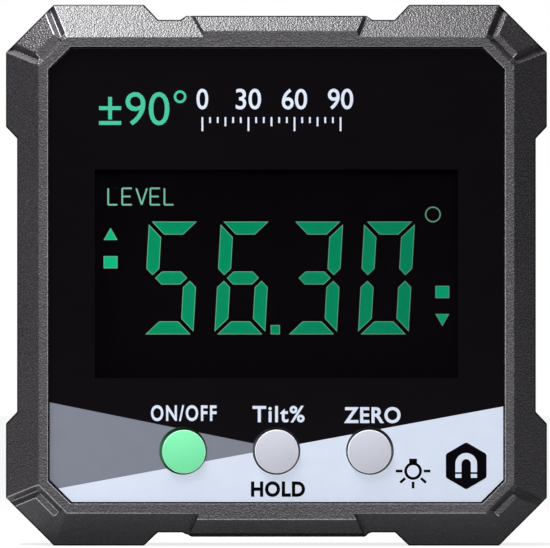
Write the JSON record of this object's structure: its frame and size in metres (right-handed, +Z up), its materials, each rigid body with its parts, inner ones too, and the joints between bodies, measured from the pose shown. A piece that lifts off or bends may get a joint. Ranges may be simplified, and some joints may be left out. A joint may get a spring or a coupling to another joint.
{
  "type": "digital inclinometer",
  "caption": "Square digital angle box with magnetic base, backlit display, push buttons and a battery bay behind a screwed cover.",
  "frame": {"origin": "under the middle of the box, on the plane that its base stands on", "axes": "+Z up, +X to the right seen from the front, the display faces -Y"},
  "size_m": [0.06, 0.028, 0.06],
  "materials": {
    "housing": "spark-textured dark grey moulding",
    "cover": "fine-textured dark grey moulding",
    "panel": "clear sheet printed black, white and grey on its back",
    "adhesive": "adhesive foam film",
    "seal": "soft seal",
    "screw_steel": "zinc plated",
    "nylon": "nylon",
    "insert_brass": "knurled brass",
    "green_key": "satin green cap",
    "grey_key": "satin light grey cap",
    "silicone": "silicone keypad",
    "carbon": "conductive carbon and rubber",
    "polarizer": "polarizing film",
    "display_glass": "thin display glass",
    "segment": "lit green segments",
    "light_guide": "acrylic light guide",
    "led": "lamp in a white case",
    "holder": "white moulding",
    "board": "green solder mask on glass fibre",
    "chip": "black chip case",
    "can": "metal can",
    "battery": "plain jacket with bare ends",
    "contact": "nickel plated spring steel",
    "magnet": "nickel plated magnet"
  },
  "bodies": {
    "housing": {"backlight_guide": "light_guide", "backlight_leds": "led", "battery_bridge_contact": "contact", "battery_negative_contact": "contact", "battery_positive_contact": "contact", "board_screws": "screw_steel", "circuit_board": "board", "controller_chip": "chip", "crystal_oscillator": "can", "front_housing": "housing", "hold_key_web": "silicone", "housing_gasket": "seal", "housing_screws": "screw_steel", "keypad_mat": "silicone", "lcd_front_glass": "display_glass", "lcd_front_polarizer": "polarizer", "lcd_holder": "holder", "lcd_rear_glass": "display_glass", "lcd_rear_polarizer": "polarizer", "lcd_segments": "segment", "left_front_magnet": "magnet", "left_rear_magnet": "magnet", "lower_battery": "battery", "lower_battery_spring": "contact", "panel_adhesive": "adhesive", "power_key_web": "silicone", "rear_housing": "housing", "right_front_magnet": "magnet", "right_rear_magnet": "magnet", "smd_parts": "chip", "threaded_inserts": "insert_brass", "tilt_sensor_chip": "chip", "upper_battery": "battery", "upper_battery_spring": "contact", "voltage_converter_chip": "chip", "window_panel": "panel", "zebra_strip": "carbon", "zero_key_web": "silicone"},
    "power_button": {"power_button": "green_key", "power_key_core": "silicone", "power_contact_pill": "carbon"},
    "hold_button": {"hold_button": "grey_key", "hold_key_core": "silicone", "hold_contact_pill": "carbon"},
    "zero_button": {"zero_button": "grey_key", "zero_key_core": "silicone", "zero_contact_pill": "carbon"},
    "battery_cover": {"battery_cover": "cover", "battery_cover_gasket": "seal", "battery_cover_screws": "screw_steel", "screw_retaining_washers": "nylon"}
  },
  "joints": [
    {"name": "power_button_press", "type": "slide", "parent": "housing", "child": "power_button", "axis": [0, 1, 0], "range_m": [0, 0.0005], "stiffness_N_per_m": 3000, "springref_m": -0.0001, "deforming": ["power_key_web"]},
    {"name": "hold_button_press", "type": "slide", "parent": "housing", "child": "hold_button", "axis": [0, 1, 0], "range_m": [0, 0.0005], "stiffness_N_per_m": 3000, "springref_m": -0.0001, "deforming": ["hold_key_web"]},
    {"name": "zero_button_press", "type": "slide", "parent": "housing", "child": "zero_button", "axis": [0, 1, 0], "range_m": [0, 0.0005], "stiffness_N_per_m": 3000, "springref_m": -0.0001, "deforming": ["zero_key_web"]},
    {"name": "battery_cover_lift", "type": "slide", "parent": "housing", "child": "battery_cover", "axis": [0, 1, 0], "range_m": [0, 0.02]}
  ]
}
